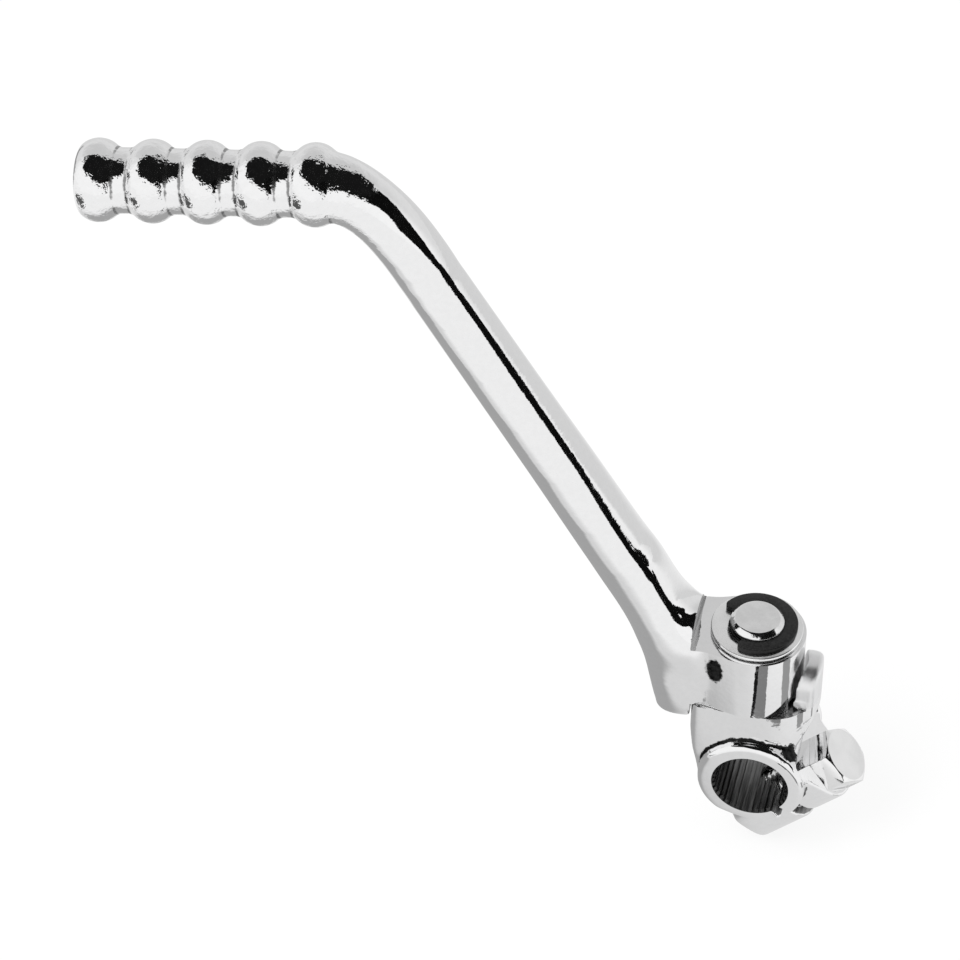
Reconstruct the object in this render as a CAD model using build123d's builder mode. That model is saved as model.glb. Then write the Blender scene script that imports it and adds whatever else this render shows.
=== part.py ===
"""Folding kick start lever: a splined clamp hub, a pivot pin and a forged lever with a ribbed foot peg."""

import os
from math import cos, pi, radians, sin, sqrt, tan

from build123d import *

os.makedirs("parts", exist_ok=True)

# Millimetres. The kick shaft's axis is Y, the pivot pin stands along Z, and the folded lever points to -X.

# Splined shaft clamp
spline_crest_r = 7.8
spline_depth = 0.55
spline_count = 36
spline_crest_share = 0.56
lead_in = 0.6
tube_wall = 3.3
tube_length = 24.0
tube_edge = 0.8
slit_width = 2.4

# Pinch bolt and the lug around it
bolt_r = 4.0
bolt_lean = 45.0
bolt_length = 25.0
bolt_head_flats = 12.0
bolt_head_height = 5.3
bolt_head_turn = 44.0
bolt_tip_chamfer = 0.8
shaft_clearance = 0.05
thread_clearance = 0.05
bolt_hole_clearance = 0.3
window_clearance = 1.5
window_depth = 6.0
lug_r = 7.5
lug_upper = 9.5
lug_root = 4.0
lug_root_half = 10.4
ear_r = 8.2
ear_lower = 14.2
ear_root = 9.4
ear_root_half = 8.8
seat_inner = 2.1

# Hub table, which carries the pivot, and its stop tab
pivot_offset = -2.4
table_top = 19.2
table_front = 9.75
table_r = 12.3
table_right = 11.75
table_right_side = 0.6
table_edge = 1.4
table_foot = 6.5
table_foot_left = -13.4
tab_top = 29.3
tab_thickness = 3.4
tab_half_width = 5.5
tab_gap = 0.7
tab_corner = 4.5
tab_edge = 0.7

# Pivot pin, washer and circlip
pin_r = 5.75
pin_seat = 9.6
pin_chamfer = 1.0
pin_above_clip = 1.4
groove_depth = 0.7
groove_slack = 0.05
washer_r = 9.75
washer_thickness = 1.3
washer_bore_clearance = 0.15
clip_r = 8.6
clip_thickness = 1.25
clip_gap_half = 46.0
clip_gap_turn = 18.0
clip_end_round = 1.1

# Lever boss
stow_angle = 4.0
boss_r = 10.5
boss_height = 16.0
running_clearance = 0.05
seat_gap = 0.1
flat_reach = 12.4
flat_turn = -4.6
stop_clearance = 0.3
stop_drop = 3.7
web_r = 8.0
web_reach = 9.5
root_sections = (
    (-30.0, 14.0, 13.0, 8.0, 4.0),
    (-16.0, 11.2, 9.5, 8.2, 3.2),
    (-5.0, 7.0, 7.4, 7.5, 2.15),
    (4.0, 6.9, 7.0, 6.95, 2.0),
)

# Lever arm, measured from the point where its axis leaves the root
arm_lean = 30.0
arm_start_out = 22.45
arm_start_up = 42.8
arm_length = 119.6
arm_root_r = 6.87
arm_top_r = 6.36
arm_blend = 14.0
bend_in = 28.0
bend_arm_pull = 9.0
bend_peg_pull = 12.0
bend_swell = 0.7
bend_swell_share = 0.38

# Foot peg
peg_lean = 96.5
ring_count = 5
ring_pitch = 11.0
ring_first = 10.3
ring_r = 8.45
ring_round = 5.0
valley_r = 6.6
peg_tip = 3.9
peg_tip_edge = 0.7

# Detent ball and spring inside the boss
ball_r = 1.6
ball_clearance = 0.12
track_depth = 0.8
track_spare = 12.0
pocket_depth = 9.0
spring_wire = 0.45
spring_turns = 3
spring_clearance = 0.15

# Places worked out from the sizes above
spline_root_r = spline_crest_r + spline_depth
tube_r = spline_root_r + tube_wall
tube_half = tube_length / 2
bolt_out = spline_crest_r + shaft_clearance + bolt_r
boss_bottom = table_top + seat_gap
boss_top = boss_bottom + boss_height
washer_bottom = boss_top + seat_gap
clip_bottom = washer_bottom + washer_thickness
pin_top = clip_bottom + clip_thickness + pin_above_clip
pin_bottom = table_top - pin_seat
stop_face = table_r + stop_clearance
web_bottom = boss_bottom - stop_drop
fold_travel = 90.0 + stow_angle
ball_up = table_top - track_depth + ball_r
ball_circle = (pin_r + table_r) / 2

pivot = Vector(pivot_offset, 0, 0)
lever_out = Vector(-cos(radians(stow_angle)), -sin(radians(stow_angle)), 0)
lever_side = Vector(-sin(radians(stow_angle)), cos(radians(stow_angle)), 0)
lever_plane = Plane(origin=pivot, x_dir=lever_out, z_dir=lever_side)
lever_floor = Plane(origin=pivot, x_dir=lever_out, z_dir=(0, 0, 1))

bolt_dir = Vector(cos(radians(bolt_lean)), 0, sin(radians(bolt_lean)))
slit_dir = Vector(sin(radians(bolt_lean)), 0, -cos(radians(bolt_lean)))
bolt_plane = Plane(origin=slit_dir * bolt_out, x_dir=slit_dir, z_dir=bolt_dir)

ring_last = ring_first + ring_pitch * (ring_count - 1)
ring_half = sqrt(ring_round**2 - (ring_round - ring_r + valley_r) ** 2)


def in_lever(out, up):
    return pivot + lever_out * out + Vector(0, 0, up)


def ring_height(off):
    return ring_r - ring_round + sqrt(ring_round**2 - off**2)


def in_lean(lean):
    return lever_out * sin(radians(lean)) + Vector(0, 0, cos(radians(lean)))


arm_start = in_lever(arm_start_out, arm_start_up)
arm_dir = in_lean(arm_lean)
arm_across = in_lean(arm_lean + 90)
peg_dir = in_lean(peg_lean)
bend_corner = arm_start + arm_dir * arm_length
bend_start = bend_corner - arm_dir * bend_in
bend_end = bend_corner + peg_dir * ring_first
peg_end_r = ring_height(peg_tip)


# Forged hub
with BuildPart() as kick_hub:
    # Table block: its outline from the front, then its plan
    left_reach = pivot_offset - table_r
    with BuildSketch(Plane.XZ.offset(table_r)) as block_front:
        with BuildLine():
            Polyline(
                (left_reach, table_top),
                (left_reach, web_bottom),
                (table_foot_left, table_foot),
                (-tube_r * cos(radians(8)), -tube_r * sin(radians(8))),
                (0, 0),
                (tube_r * cos(radians(45)), tube_r * sin(radians(45))),
                (table_right, (table_top + tube_r) / 2 - 1.0),
                (table_right, table_top),
                close=True,
            )
        make_face()
    extrude(amount=-2 * table_r)
    with BuildSketch(Plane.XY) as block_plan:
        corner_x = pivot_offset - (table_r - table_front * sin(radians(stow_angle))) / cos(radians(stow_angle))
        left_mid = pivot + lever_out * table_r
        arc_mid = pivot + Vector(-table_r * cos(radians(45)), table_r * sin(radians(45)), 0)
        front_r = table_front + table_right_side
        back_r = table_r - table_right_side
        with BuildLine():
            Line((corner_x, -table_front), (left_mid.X, left_mid.Y))
            ThreePointArc((left_mid.X, left_mid.Y), (arc_mid.X, arc_mid.Y), (pivot_offset, table_r))
            Line((pivot_offset, table_r), (table_right - back_r, table_r))
            RadiusArc((table_right - back_r, table_r), (table_right, table_right_side), back_r)
            RadiusArc((table_right, table_right_side), (table_right - front_r, -table_front), front_r)
            Line((table_right - front_r, -table_front), (corner_x, -table_front))
        make_face()
        corner = block_plan.vertices().sort_by_distance((corner_x, -table_front))[0]
        fillet(corner, radius=table_edge)
    extrude(amount=table_top, mode=Mode.INTERSECT)

    # Stop tab beside the boss
    tab_inner_r = boss_r + tab_gap
    tab_foot = table_top - tab_thickness
    tab_height = tab_top - tab_foot
    with BuildPart(mode=Mode.PRIVATE) as stop_tab:
        with BuildSketch(Plane.XY.offset(tab_foot)):
            with Locations(pivot):
                Circle(tab_inner_r + tab_thickness)
                Circle(tab_inner_r, mode=Mode.SUBTRACT)
        extrude(amount=tab_height)
        with BuildSketch(Plane.YZ) as tongue:
            with Locations((0, tab_foot + tab_height / 2)):
                Rectangle(2 * tab_half_width, tab_height)
            fillet(tongue.vertices().group_by(Axis.Y)[-1], radius=tab_corner)
        extrude(amount=2 * tab_inner_r, mode=Mode.INTERSECT)
        chamfer(stop_tab.faces().sort_by(Axis.X)[-1].edges(), length=tab_edge)
    add(stop_tab.part)

    # Shaft tube and clamp lug
    with BuildSketch(Plane.XY) as tube_profile:
        with Locations((tube_r / 2, 0)):
            Rectangle(tube_r, tube_length)
        chamfer(tube_profile.vertices().group_by(Axis.X)[-1], length=tube_edge)
    revolve(axis=Axis.Y)
    with BuildSketch(bolt_plane) as lug_plan:
        Circle(lug_r)
        lug_corner = lug_root_half - tube_edge
        with Locations((lug_root - bolt_out, lug_corner), (lug_root - bolt_out, -lug_corner)):
            Circle(tube_edge)
        make_hull()
    extrude(amount=lug_upper)
    with BuildSketch(bolt_plane) as ear_plan:
        Circle(ear_r)
        ear_corner = ear_root_half - tube_edge
        with Locations((ear_root - bolt_out, ear_corner), (ear_root - bolt_out, -ear_corner)):
            Circle(tube_edge)
        make_hull()
    extrude(amount=-ear_lower)
    with BuildSketch(bolt_plane.offset(lug_upper)) as seat_plan:
        with Locations((tube_r + seat_inner - bolt_out, 0)):
            Rectangle(2 * tube_r, 2 * lug_root_half)
    extrude(amount=bolt_head_height, mode=Mode.SUBTRACT)

    # Splined bore with a lead-in where the shaft enters, and the slit
    groove_width = 2 * pi * spline_crest_r / spline_count * (1 - spline_crest_share)
    with BuildSketch(Plane.XZ.offset(tube_half)) as spline:
        Circle(spline_crest_r)
        with PolarLocations(spline_crest_r, spline_count):
            Rectangle(2 * spline_depth, groove_width)
    extrude(amount=-tube_length, mode=Mode.SUBTRACT)
    with BuildSketch(Plane.XZ.offset(tube_half)):
        Circle(spline_crest_r + lead_in)
    extrude(amount=-lead_in, taper=45, mode=Mode.SUBTRACT)
    with BuildSketch(bolt_plane.offset(-slit_width / 2)) as slit:
        with Locations((0, 0)):
            Rectangle(2 * (bolt_out - spline_crest_r / 2), 2 * tube_length)
    extrude(amount=slit_width, mode=Mode.SUBTRACT)

    # Bolt holes: clear in the upper ear, threaded in the lower
    with BuildSketch(bolt_plane):
        Circle(bolt_r + bolt_hole_clearance)
    extrude(amount=lug_upper, mode=Mode.SUBTRACT)
    with BuildSketch(bolt_plane):
        Circle(bolt_r + thread_clearance)
    extrude(amount=-ear_lower, mode=Mode.SUBTRACT)

    # Relief round the bolt, which opens a window into the bore
    with BuildSketch(bolt_plane):
        Circle(bolt_r + window_clearance)
    extrude(amount=-window_depth, mode=Mode.SUBTRACT)

    # Pin seat and the ball's track
    with BuildSketch(Plane.XY.offset(table_top)):
        with Locations(pivot):
            Circle(pin_r)
    extrude(amount=-pin_seat, mode=Mode.SUBTRACT)
    track_start = lever_out.rotate(Axis.Z, track_spare)
    track_side = lever_side.rotate(Axis.Z, track_spare)
    with BuildSketch(Plane(origin=pivot, x_dir=track_start, z_dir=track_side)) as track:
        with Locations((ball_circle, ball_up)):
            Circle(ball_r + ball_clearance)
    revolve(axis=Axis(pivot, (0, 0, 1)), revolution_arc=-fold_travel - 2 * track_spare, mode=Mode.SUBTRACT)

kick_hub.part.label = "kick_hub"
export_step(kick_hub.part, "parts/kick_hub.step")


# Pivot pin pressed into the table, grooved for the circlip
with BuildPart() as pivot_pin:
    with BuildSketch(Plane.XY.offset(pin_bottom)):
        with Locations(pivot):
            Circle(pin_r)
    extrude(amount=pin_top - pin_bottom)
    chamfer(pivot_pin.edges().group_by(Axis.Z)[-1], length=pin_chamfer)
    with BuildSketch(Plane.XY.offset(clip_bottom - groove_slack)):
        with Locations(pivot):
            Circle(pin_r + 1.0)
            Circle(pin_r - groove_depth, mode=Mode.SUBTRACT)
    extrude(amount=clip_thickness + 2 * groove_slack, mode=Mode.SUBTRACT)

pivot_pin.part.label = "pivot_pin"
export_step(pivot_pin.part, "parts/pivot_pin.step")


# Washer under the circlip
with BuildPart() as thrust_washer:
    with BuildSketch(Plane.XY.offset(washer_bottom)):
        with Locations(pivot):
            Circle(washer_r)
            Circle(pin_r + washer_bore_clearance, mode=Mode.SUBTRACT)
    extrude(amount=washer_thickness)

thrust_washer.part.label = "thrust_washer"
export_step(thrust_washer.part, "parts/thrust_washer.step")


# Open circlip in the pin's groove
with BuildPart() as circlip:
    gap_mid = 180 + stow_angle + clip_gap_turn
    with BuildSketch(Plane(origin=pivot + Vector(0, 0, clip_bottom), x_dir=(1, 0, 0), z_dir=(0, 0, 1))) as clip_plan:
        Circle(clip_r)
        Circle(pin_r - groove_depth + groove_slack, mode=Mode.SUBTRACT)
        with BuildSketch(mode=Mode.PRIVATE) as clip_gap:
            far = 3 * clip_r
            side_a = radians(gap_mid - clip_gap_half)
            side_b = radians(gap_mid + clip_gap_half)
            with BuildLine():
                Polyline(
                    (0, 0),
                    (far * cos(side_a), far * sin(side_a)),
                    (far * cos(radians(gap_mid)), far * sin(radians(gap_mid))),
                    (far * cos(side_b), far * sin(side_b)),
                    close=True,
                )
            make_face()
        add(clip_gap.sketch, mode=Mode.SUBTRACT)
        fillet(clip_plan.vertices(), radius=clip_end_round)
    extrude(amount=clip_thickness)

circlip.part.label = "circlip"
export_step(circlip.part, "parts/circlip.step")


# Hexagon bolt that pinches the lug
with BuildPart() as pinch_bolt:
    with BuildSketch(bolt_plane.offset(lug_upper)):
        RegularPolygon(bolt_head_flats / 2, 6, major_radius=False, rotation=bolt_head_turn)
    extrude(amount=bolt_head_height)
    head_corner_r = bolt_head_flats / sqrt(3)
    with BuildSketch(Plane(origin=bolt_plane.origin, x_dir=slit_dir, z_dir=(0, 1, 0))) as head_turning:
        crown_r = bolt_head_flats / 2 - 0.25
        seat = lug_upper
        crown = lug_upper + bolt_head_height
        drop = (head_corner_r + 0.1 - crown_r) * tan(radians(30))
        with BuildLine():
            Polyline(
                (0, -seat),
                (head_corner_r + 0.1, -seat),
                (head_corner_r + 0.1, drop - crown),
                (crown_r, -crown),
                (0, -crown),
                close=True,
            )
        make_face()
    revolve(axis=Axis(bolt_plane.origin, bolt_dir), mode=Mode.INTERSECT)
    with BuildSketch(bolt_plane.offset(lug_upper)):
        Circle(bolt_r)
    extrude(amount=-bolt_length)
    chamfer(pinch_bolt.faces().sort_by(Axis(bolt_plane.origin, bolt_dir))[0].edges(), length=bolt_tip_chamfer)

pinch_bolt.part.label = "pinch_bolt"
export_step(pinch_bolt.part, "parts/pinch_bolt.step")


# Forged lever
def arm_section(along):
    return Plane(origin=arm_start + arm_dir * along, x_dir=arm_across, z_dir=arm_dir)


with BuildPart() as kick_lever:
    # Boss and web
    with BuildSketch(lever_floor.offset(boss_bottom)) as boss_plan:
        Circle(boss_r)
        with Locations((web_reach, 0)):
            Circle(web_r)
        make_hull()
    extrude(amount=boss_height)

    # Root that flares from the web into the round arm: place along the arm, inner and outer reach,
    # half width and squareness of each section
    for along, inner, outer, half, square in root_sections:
        with BuildSketch(arm_section(along)):
            with BuildLine():
                ring = []
                for k in range(24):
                    turn = radians(15 * k)
                    c = cos(turn)
                    s = sin(turn)
                    x = abs(c) ** (2 / square) * (outer if c > 0 else -inner)
                    y = abs(s) ** (2 / square) * (half if s > 0 else -half)
                    ring.append((x, y))
                Spline(*ring, periodic=True)
            make_face()
    with BuildSketch(arm_section(arm_blend)):
        Circle(arm_root_r)
    loft()

    # Round arm
    with BuildSketch(arm_section(arm_blend)):
        Circle(arm_root_r)
    with BuildSketch(arm_section(arm_length - bend_in)):
        Circle(arm_top_r)
    loft()

    # Bend, which swells into the peg's first ring
    with BuildLine(mode=Mode.PRIVATE) as bend_line:
        Bezier(bend_start, bend_start + arm_dir * bend_arm_pull, bend_end - peg_dir * bend_peg_pull, bend_end)
    bend = bend_line.edge()
    for k in range(9):
        share = k / 8
        rise = max(0.0, 1 - (1 - share) / bend_swell_share)
        swell = bend_swell * rise * rise * (3 - 2 * rise)
        with BuildSketch(Plane(origin=bend @ share, x_dir=lever_side, z_dir=bend % share)):
            Circle(arm_top_r + swell)
    loft()

    # Ribbed foot peg
    with BuildSketch(Plane(origin=bend_corner, x_dir=peg_dir, z_dir=lever_side)) as peg_profile:
        with BuildLine():
            Line((ring_first - ring_half, 0), (ring_first - ring_half, valley_r))
            for k in range(ring_count):
                crest = ring_first + ring_pitch * k
                stop = peg_tip if k == ring_count - 1 else ring_half
                ThreePointArc((crest - ring_half, valley_r), (crest, ring_r), (crest + stop, ring_height(stop)))
                if k < ring_count - 1:
                    Line((crest + ring_half, valley_r), (crest + ring_pitch - ring_half, valley_r))
            Line((ring_last + peg_tip, peg_end_r), (ring_last + peg_tip, 0))
            Line((ring_last + peg_tip, 0), (ring_first - ring_half, 0))
        make_face()
        tip = [v for v in peg_profile.vertices() if abs(v.Y - peg_end_r) < 0.001]
        chamfer(tip, length=peg_tip_edge)
    revolve(axis=Axis(bend_corner, peg_dir))

    # Milled flat under the washer, underside and stop face
    with BuildSketch(lever_floor.offset(boss_top)) as flat_plan:
        with Locations(Location((flat_reach, 0), flat_turn)):
            Rectangle(4 * boss_r, 6 * boss_r, align=(Align.MAX, Align.CENTER))
    extrude(amount=arm_start_up, mode=Mode.SUBTRACT)
    with BuildSketch(lever_floor.offset(web_bottom)):
        Rectangle(12 * boss_r, 8 * boss_r)
    extrude(amount=-6 * boss_r, mode=Mode.SUBTRACT)
    with BuildSketch(lever_floor.offset(boss_bottom)):
        with Locations((stop_face - 2 * boss_r, 0)):
            Rectangle(4 * boss_r, 6 * boss_r)
    extrude(amount=-2 * boss_r, mode=Mode.SUBTRACT)

    # Pin bore and the ball's pocket
    with BuildSketch(lever_floor.offset(boss_bottom)):
        Circle(pin_r + running_clearance)
    extrude(amount=boss_height, mode=Mode.SUBTRACT)
    with BuildSketch(lever_floor.offset(boss_bottom)):
        with Locations((ball_circle, 0)):
            Circle(ball_r + running_clearance)
    extrude(amount=pocket_depth, mode=Mode.SUBTRACT)

kick_lever.part.label = "kick_lever"
export_step(kick_lever.part, "parts/kick_lever.step")


# Detent ball and its spring
ball_spot = in_lever(ball_circle, ball_up)
with BuildPart() as detent_ball:
    with Locations(ball_spot):
        Sphere(ball_r)

detent_ball.part.label = "detent_ball"
export_step(detent_ball.part, "parts/detent_ball.step")

coil_r = ball_r + running_clearance - spring_clearance - spring_wire / 2
coil_reach = ball_r + spring_wire + seat_gap
coil_foot = ball_up + sqrt(coil_reach**2 - coil_r**2)
coil_top = boss_bottom + pocket_depth - spring_wire - seat_gap
with BuildPart() as detent_spring:
    with BuildLine():
        coil = Helix(
            pitch=(coil_top - coil_foot) / spring_turns,
            height=coil_top - coil_foot,
            radius=coil_r,
            center=in_lever(ball_circle, coil_foot),
        )
    with BuildSketch(Plane(origin=coil @ 0, x_dir=(1, 0, 0), z_dir=coil % 0)):
        Rectangle(spring_wire, spring_wire)
    sweep(path=coil, is_frenet=True)

detent_spring.part.label = "detent_spring"
export_step(detent_spring.part, "parts/detent_spring.step")
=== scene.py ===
import math
from contextlib import contextmanager

import bmesh
import bpy
import numpy as np
from mathutils import Matrix, Vector
from mathutils.kdtree import KDTree


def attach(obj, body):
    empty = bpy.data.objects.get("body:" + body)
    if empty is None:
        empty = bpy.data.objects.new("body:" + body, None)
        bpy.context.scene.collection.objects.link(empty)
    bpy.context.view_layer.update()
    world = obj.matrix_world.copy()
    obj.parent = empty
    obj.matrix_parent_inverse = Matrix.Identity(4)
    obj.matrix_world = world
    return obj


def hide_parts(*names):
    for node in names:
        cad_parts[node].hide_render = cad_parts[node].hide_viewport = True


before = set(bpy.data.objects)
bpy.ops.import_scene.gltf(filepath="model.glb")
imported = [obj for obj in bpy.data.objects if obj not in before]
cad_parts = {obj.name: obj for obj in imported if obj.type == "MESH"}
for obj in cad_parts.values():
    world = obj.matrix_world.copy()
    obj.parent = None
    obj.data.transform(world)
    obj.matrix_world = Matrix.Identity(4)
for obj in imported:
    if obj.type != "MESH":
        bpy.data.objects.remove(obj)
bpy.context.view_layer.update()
scene = bpy.context.scene
mm = 0.001
print("frame loaded:", sorted(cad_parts))


class Flow:
    # wraps one socket; operators on it add Math nodes to its tree
    def __init__(self, tree, socket=None):
        self.tree = tree
        self.socket = socket

    def node(self, kind, settings=None, sockets=None, out=0):
        # a list of flows is linked into its socket one after another
        made = self.tree.nodes.new(kind)
        for name, value in (settings or {}).items():
            setattr(made, name, value)
        for key, value in (sockets or {}).items():
            for source in value if isinstance(value, list) else [value]:
                if isinstance(source, Flow):
                    self.tree.links.new(source.socket, made.inputs[key])
                else:
                    made.inputs[key].default_value = source
        return Flow(self.tree, made.outputs[out] if made.outputs else None)

    def maths(self, operation, first, second=0.0):
        return self.node("ShaderNodeMath", {"operation": operation}, {0: first, 1: second})

    def __add__(self, other):
        return self.maths("ADD", self, other)

    __radd__ = __add__

    def __sub__(self, other):
        return self.maths("SUBTRACT", self, other)

    def __rsub__(self, other):
        return self.maths("SUBTRACT", other, self)

    def __mul__(self, other):
        return self.maths("MULTIPLY", self, other)

    __rmul__ = __mul__

    def __truediv__(self, other):
        return self.maths("DIVIDE", self, other)

    def __rtruediv__(self, other):
        return self.maths("DIVIDE", other, self)

    def __gt__(self, other):
        return self.maths("GREATER_THAN", self, other)

    def __lt__(self, other):
        return self.maths("LESS_THAN", self, other)

    def axis(self, index):
        # x, y or z of a vector
        return self.node("ShaderNodeSeparateXYZ", None, {0: self}, index)

    def ramp(self, low, high, start=0.0, end=1.0):
        return self.node(
            "ShaderNodeMapRange",
            {"interpolation_type": "SMOOTHSTEP"},
            {"Value": self, "From Min": low, "From Max": high, "To Min": start, "To Max": end},
        )


def link(obj):
    scene.collection.objects.link(obj)
    return obj


def frameOf(spot, *axes):
    # puts x, y and z along these axes, from this spot
    return Matrix.Translation(spot) @ Matrix(axes).transposed().to_4x4()


# Camera, at the photo's viewing angle
cameraSet = {
    "place": (0.09195, -0.67400, 0.73772),
    "right": (0.9733, 0.2296, 0.0065),
    "up": (-0.1645, 0.6773, 0.7171),
    "lens": 173.69,
    "sensor": 36,
    "clipStart": 0.01,
}
right = Vector(cameraSet["right"]).normalized()
up = Vector(cameraSet["up"])
up = (up - right * right.dot(up)).normalized()
cameraData = bpy.data.cameras.new("photoCamera")
cameraData.lens = cameraSet["lens"]
cameraData.sensor_width = cameraSet["sensor"]
cameraData.clip_start = cameraSet["clipStart"]
camera = link(bpy.data.objects.new("photoCamera", cameraData))
camera.matrix_world = frameOf(cameraSet["place"], right, up, right.cross(up))
scene.camera = camera
scene.view_settings.view_transform = "Standard"
print("camera placed")

# Materials
noiseSpan = (0.3, 0.7)  # nearly all of a noise lies in here
wideSpan = (0.3, 0.75)


def emptyTree(owner):
    owner.use_nodes = True
    owner.node_tree.nodes.clear()
    return Flow(owner.node_tree)


def newFinish(name):
    # a material, with the Object coordinates that its finish is written from
    made = bpy.data.materials.new(name)
    return made, emptyTree(made).node("ShaderNodeTexCoord", None, None, "Object")


def noise(place, scale, detail=2.0, rough=0.5):
    sockets = {"Vector": place, "Scale": scale, "Detail": detail, "Roughness": rough}
    return place.node("ShaderNodeTexNoise", None, sockets)


def grey(shade):
    return shade.node("ShaderNodeCombineColor", None, {0: shade, 1: shade, 2: shade})


def endFinish(colour, rough, relief, metal=1.0, gloss=0.5):
    # the finish's one shader; a relief of 1 is 1 mm deep
    bump = colour.node("ShaderNodeBump", None, {"Strength": 1.0, "Distance": 1 * mm, "Height": relief})
    varied = {"Base Color": colour, "Roughness": rough, "Normal": bump}
    fixed = {"Metallic": metal, "Specular IOR Level": gloss}
    shader = colour.node("ShaderNodeBsdfPrincipled", None, {**varied, **fixed})
    colour.node("ShaderNodeOutputMaterial", None, {0: shader})


chromeSet = {
    "tone": 0.90,
    "toneDip": 0.03,
    "blue": 1.004,  # a trace colder than grey
    "lumpScale": 70.0,  # forging waves under the plate, about 14 mm
    "lumpDepth": 0.06,
    "rippleScale": 330.0,  # polishing ripple, about 3 mm
    "rippleDepth": 0.03,
    "pegScale": 480.0,  # the peg is polished less evenly than the arm
    "pegDepth": 0.26,
    "pegEnd": (-142.5 * mm, -140.5 * mm),  # but its end is smoother again
    "pegEndShare": 0.2,
    "hazeScale": 900.0,
    "hazeSpan": (0.35, 0.75),
    "rough": 0.035,
    "roughDip": 0.012,
    "roughRise": 0.05,
    "satin": 0.38,  # what the hub's tab has more, where it was dressed by hand
    # the painted shade in the hollows and at the dark spots: its noise scale, edge, tone and roughness
    "shadeNoiseScale": 700.0,
    "paintedShadeEdge": (0.42, 0.62),
    "paintedShadeTone": 0.03,
    "paintedShadeRough": 0.3,
    "darkSpotEdge": (0.85, 1.05),
}


def chromePlate(name, pegFrom=None, creviceShade=1.0, ragged=0.9, darkSpot=None, satinFrom=None):
    made, place = newFinish(name)
    lump = noise(place, chromeSet["lumpScale"], 1.0)
    ripple = noise(place, chromeSet["rippleScale"], 3.0, 0.55)
    haze = noise(place, chromeSet["hazeScale"], 4.0, 0.6)
    relief = lump * chromeSet["lumpDepth"] + ripple * chromeSet["rippleDepth"]
    if pegFrom:
        along = place.axis(0)
        onPeg = along.ramp(*pegFrom, 1.0, 0.0)
        onPeg = onPeg * along.ramp(*chromeSet["pegEnd"], chromeSet["pegEndShare"], 1.0)
        dimple = noise(place, chromeSet["pegScale"], 3.0, 0.55)
        relief = relief + onPeg * dimple * chromeSet["pegDepth"]
    # painted shade: the measured hollows of the skin, frayed by noise, darken the colour nearly to black
    # and make it rougher
    hollow = place.node("ShaderNodeAttribute", {"attribute_name": "crevice"}, None, "Fac")
    torn = noise(place, chromeSet["shadeNoiseScale"], 4.0, 0.65) - 0.5
    shadeAndSpots = (hollow + torn * ragged).ramp(*chromeSet["paintedShadeEdge"]) * creviceShade
    # dark patches at listed spots, darkened into the colour in the same way
    if darkSpot:
        squash = darkSpot["squash"]
        shift = tuple(-where * size for where, size in zip(darkSpot["spot"], squash))
        near = place.node("ShaderNodeMapping", None, {"Vector": place, "Location": shift, "Scale": squash})
        away = place.node("ShaderNodeVectorMath", {"operation": "LENGTH"}, {0: near}, "Value")
        spotReach = away / darkSpot["radius"] + torn * darkSpot["frayed"]
        shadeAndSpots = place.maths("MAXIMUM", shadeAndSpots, spotReach.ramp(*chromeSet["darkSpotEdge"], 1.0, 0.0))
    rough = chromeSet["rough"]
    sheen = haze.ramp(*chromeSet["hazeSpan"], rough - chromeSet["roughDip"], rough + chromeSet["roughRise"])
    if satinFrom:
        sheen = sheen + place.axis(2).ramp(*satinFrom, 0.0, chromeSet["satin"])
    bright = chromeSet["tone"]
    tone = haze.ramp(*noiseSpan, bright - chromeSet["toneDip"], bright)
    tone = tone - shadeAndSpots * (bright - chromeSet["paintedShadeTone"])
    colour = place.node("ShaderNodeCombineColor", None, {0: tone, 1: tone, 2: tone * chromeSet["blue"]})
    endFinish(colour, sheen + shadeAndSpots * chromeSet["paintedShadeRough"], relief)
    return made


steelSet = {"broadScale": 160.0, "toneDip": 0.93, "roughDip": 0.8, "roughRise": 1.25}


def steelPlate(name, tone, rough, grain, depth):
    # turned or plated steel: fine grain, a little uneven in tone
    made, place = newFinish(name)
    fine = noise(place, grain, 4.0, 0.6)
    broad = noise(place, steelSet["broadScale"])
    shade = broad.ramp(*noiseSpan, tone * steelSet["toneDip"], tone)
    sheen = fine.ramp(*noiseSpan, rough * steelSet["roughDip"], rough * steelSet["roughRise"])
    endFinish(grey(shade), sheen, fine * depth)
    return made


boreSet = {"stretch": (1.0, 0.06, 1.0), "scale": 1400.0, "depth": 0.03, "rough": (0.32, 0.5)}


def boreSteel(name, dark, light):
    # broached and unplated, with lines along the shaft; its tone is set darker than bare steel, as painted
    # shade inside the bore
    made, place = newFinish(name)
    drawn = place.node("ShaderNodeMapping", None, {"Vector": place, "Scale": boreSet["stretch"]})
    lines = noise(drawn, boreSet["scale"], 3.0, 0.6)
    shade = lines.ramp(*wideSpan, dark, light)
    sheen = lines.ramp(*noiseSpan, *boreSet["rough"])
    endFinish(grey(shade), sheen, lines * boreSet["depth"])
    return made


pinSet = {
    "scale": 420.0,
    "depth": 0.06,
    "tone": (0.82, 0.9),
    "rough": (0.07, 0.14),
    "sideTop": (38.15 * mm, 38.3 * mm),
    # how dark the side is painted, for the reflection of the black clip and the shade
    "sideShade": 0.95,
    "sideRough": 0.3,
}


def pinPlate(name):
    # bright end, with the side under its chamfer painted dark for the black clip and the shade that it
    # reflects
    made, place = newFinish(name)
    lumps = noise(place, pinSet["scale"], 3.0, 0.6)
    side = place.axis(2).ramp(*pinSet["sideTop"], 1.0, 0.0)
    shade = lumps.ramp(*noiseSpan, *pinSet["tone"]) * (1 - side * pinSet["sideShade"])
    sheen = lumps.ramp(*noiseSpan, *pinSet["rough"]) + side * pinSet["sideRough"]
    endFinish(grey(shade), sheen, lumps * pinSet["depth"])
    return made


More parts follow.
